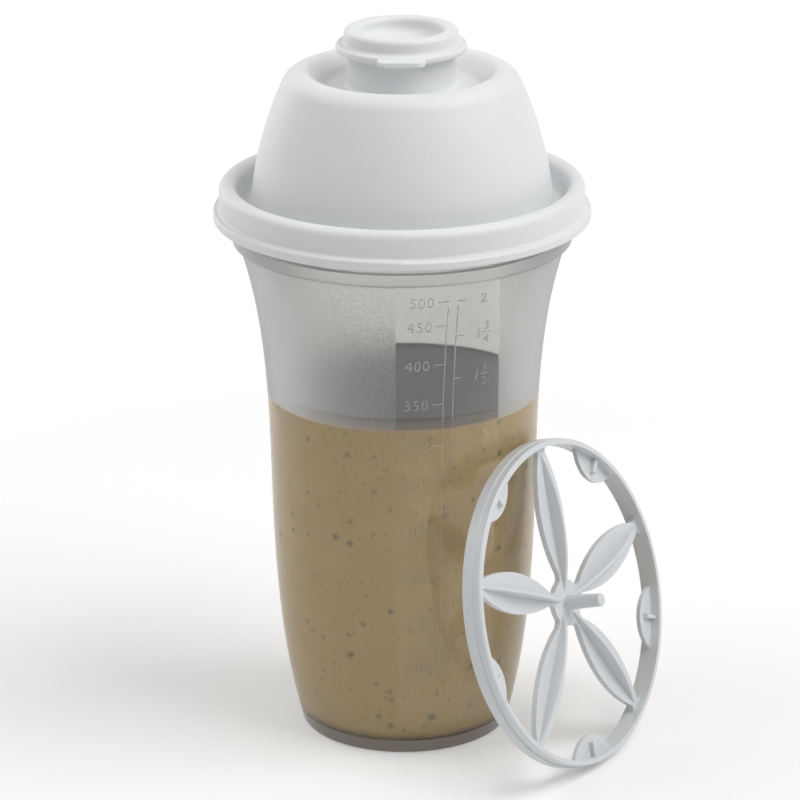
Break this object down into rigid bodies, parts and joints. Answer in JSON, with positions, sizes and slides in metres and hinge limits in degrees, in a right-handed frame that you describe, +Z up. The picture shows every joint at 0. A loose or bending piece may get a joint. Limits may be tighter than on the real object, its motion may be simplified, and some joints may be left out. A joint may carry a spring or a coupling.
{
  "type": "salad dressing shaker",
  "caption": "Frosted tapered cup with measuring scales and a push-on dome lid with a pouring neck and lift-off cap; a mixing wheel with petal vanes leans beside it.",
  "frame": {"origin": "on the cup's axis, at the surface the shaker stands on", "axes": "+Z up along the cup's axis, -Y towards the front where the measuring scales are, +X towards the side where the mixing wheel stands"},
  "size_m": [0.1224, 0.1179, 0.1968],
  "materials": {
    "frosted_polypropylene": "frosted, translucent",
    "white_polyethylene": "fine matt",
    "white_polypropylene": "satin"
  },
  "bodies": {
    "cup": {"cup": "frosted_polypropylene"},
    "lid": {"lid": "white_polyethylene"},
    "pour_cap": {"pour_cap": "white_polyethylene"},
    "mixing_wheel": {"mixing_wheel": "white_polypropylene"}
  },
  "joints": [
    {"name": "lid_lift", "type": "slide", "parent": "cup", "child": "lid", "axis": [0, 0, 1], "range_m": [0, 0.06]},
    {"name": "cap_lift", "type": "slide", "parent": "lid", "child": "pour_cap", "axis": [0, 0, 1], "range_m": [0, 0.025]},
    {"name": "wheel_away", "type": "slide", "parent": "cup", "child": "mixing_wheel", "axis": [0.8075, -0.5224, 0.274], "range_m": [0, 0.04]}
  ]
}
